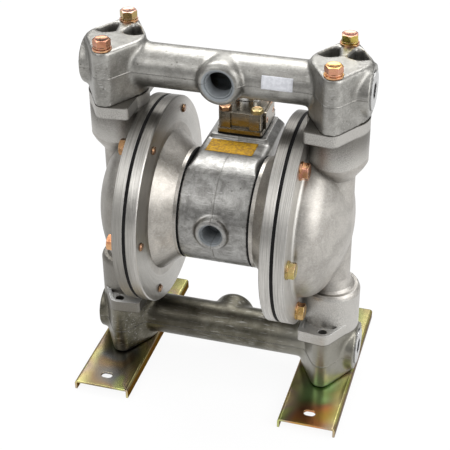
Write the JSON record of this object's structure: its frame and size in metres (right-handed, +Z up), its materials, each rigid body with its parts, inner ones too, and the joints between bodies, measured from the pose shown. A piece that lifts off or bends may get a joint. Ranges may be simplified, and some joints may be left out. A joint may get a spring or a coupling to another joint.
{
  "type": "air operated diaphragm pump",
  "caption": "Air operated double diaphragm pump in cast aluminium: two dished liquid chambers on a centre body, manifolds above and below with ball checks, steel mounting rails.",
  "frame": {"origin": "on the floor under the middle of the pump, halfway between the two chambers", "axes": "+X along the diaphragm axis and the manifolds, +Y to the back where the inlet is, +Z up"},
  "size_m": [0.323, 0.242, 0.4252],
  "materials": {
    "cast_aluminium": "bare casting, machined at joints",
    "passivated_zinc": "yellow zinc passivation with a green and violet sheen",
    "bright_steel": "ground",
    "black_rubber": "matt",
    "white_elastomer": "matt",
    "grey_plastic": "matt",
    "black_plastic": "satin"
  },
  "bodies": {
    "pump_casing": {"air_chamber_left": "cast_aluminium", "air_chamber_right": "cast_aluminium", "ball_cage_lower_left": "grey_plastic", "ball_cage_lower_right": "grey_plastic", "ball_cage_upper_left": "grey_plastic", "ball_cage_upper_right": "grey_plastic", "body_gasket_left": "black_rubber", "body_gasket_right": "black_rubber", "centre_body": "cast_aluminium", "chamber_bolts_left": "passivated_zinc", "chamber_bolts_right": "passivated_zinc", "chamber_washers_left": "passivated_zinc", "chamber_washers_right": "passivated_zinc", "diaphragm_left": "black_rubber", "diaphragm_right": "black_rubber", "discharge_manifold": "cast_aluminium", "end_cap_screws": "passivated_zinc", "liquid_chamber_left": "cast_aluminium", "liquid_chamber_right": "cast_aluminium", "lower_manifold_bolts": "passivated_zinc", "lower_plug_left": "cast_aluminium", "lower_plug_right": "cast_aluminium", "lower_washers": "passivated_zinc", "mounting_rail_left": "passivated_zinc", "mounting_rail_right": "passivated_zinc", "rod_bushing_left": "grey_plastic", "rod_bushing_right": "grey_plastic", "rod_seal_left": "black_rubber", "rod_seal_right": "black_rubber", "spool_sleeve": "bright_steel", "suction_manifold": "cast_aluminium", "upper_manifold_bolts": "passivated_zinc", "upper_plug_left": "cast_aluminium", "upper_plug_right": "cast_aluminium", "upper_spring_washers": "passivated_zinc", "upper_washers": "passivated_zinc", "valve_block": "cast_aluminium", "valve_bolts": "passivated_zinc", "valve_cap": "black_plastic", "valve_end_cap_left": "cast_aluminium", "valve_end_cap_right": "cast_aluminium", "valve_gasket": "black_rubber", "valve_seat_lower_left": "bright_steel", "valve_seat_lower_right": "bright_steel", "valve_seat_upper_left": "bright_steel", "valve_seat_upper_right": "bright_steel"},
    "rod_assembly": {"centre_rod": "bright_steel", "inner_disk_left": "cast_aluminium", "inner_disk_right": "cast_aluminium", "outer_disk_left": "cast_aluminium", "outer_disk_right": "cast_aluminium", "rod_bolt_left": "bright_steel", "rod_bolt_right": "bright_steel"},
    "pilot": {"pilot_pin": "bright_steel"},
    "spool": {"spool": "bright_steel"},
    "check_ball_lower_left": {"check_ball_lower_left": "white_elastomer"},
    "check_ball_lower_right": {"check_ball_lower_right": "white_elastomer"},
    "check_ball_upper_left": {"check_ball_upper_left": "white_elastomer"},
    "check_ball_upper_right": {"check_ball_upper_right": "white_elastomer"}
  },
  "joints": [
    {"name": "rod_stroke", "type": "slide", "parent": "pump_casing", "child": "rod_assembly", "axis": [1, 0, 0], "range_m": [-0.01, 0.01], "deforming": ["diaphragm_left", "diaphragm_right"]},
    {"name": "pilot_shift", "type": "slide", "parent": "pump_casing", "child": "pilot", "axis": [1, 0, 0], "range_m": [-0.005, 0.005]},
    {"name": "spool_shift", "type": "slide", "parent": "pump_casing", "child": "spool", "axis": [1, 0, 0], "range_m": [-0.003, 0.003]},
    {"name": "ball_lift_lower_left", "type": "slide", "parent": "pump_casing", "child": "check_ball_lower_left", "axis": [0, 0, 1], "range_m": [0, 0.008]},
    {"name": "ball_lift_lower_right", "type": "slide", "parent": "pump_casing", "child": "check_ball_lower_right", "axis": [0, 0, 1], "range_m": [0, 0.008]},
    {"name": "ball_lift_upper_left", "type": "slide", "parent": "pump_casing", "child": "check_ball_upper_left", "axis": [0, 0, 1], "range_m": [0, 0.008]},
    {"name": "ball_lift_upper_right", "type": "slide", "parent": "pump_casing", "child": "check_ball_upper_right", "axis": [0, 0, 1], "range_m": [0, 0.008]}
  ],
  "couplings": [
    {"joint": "pilot_shift", "follows": "rod_stroke", "ratio": 0.5}
  ]
}
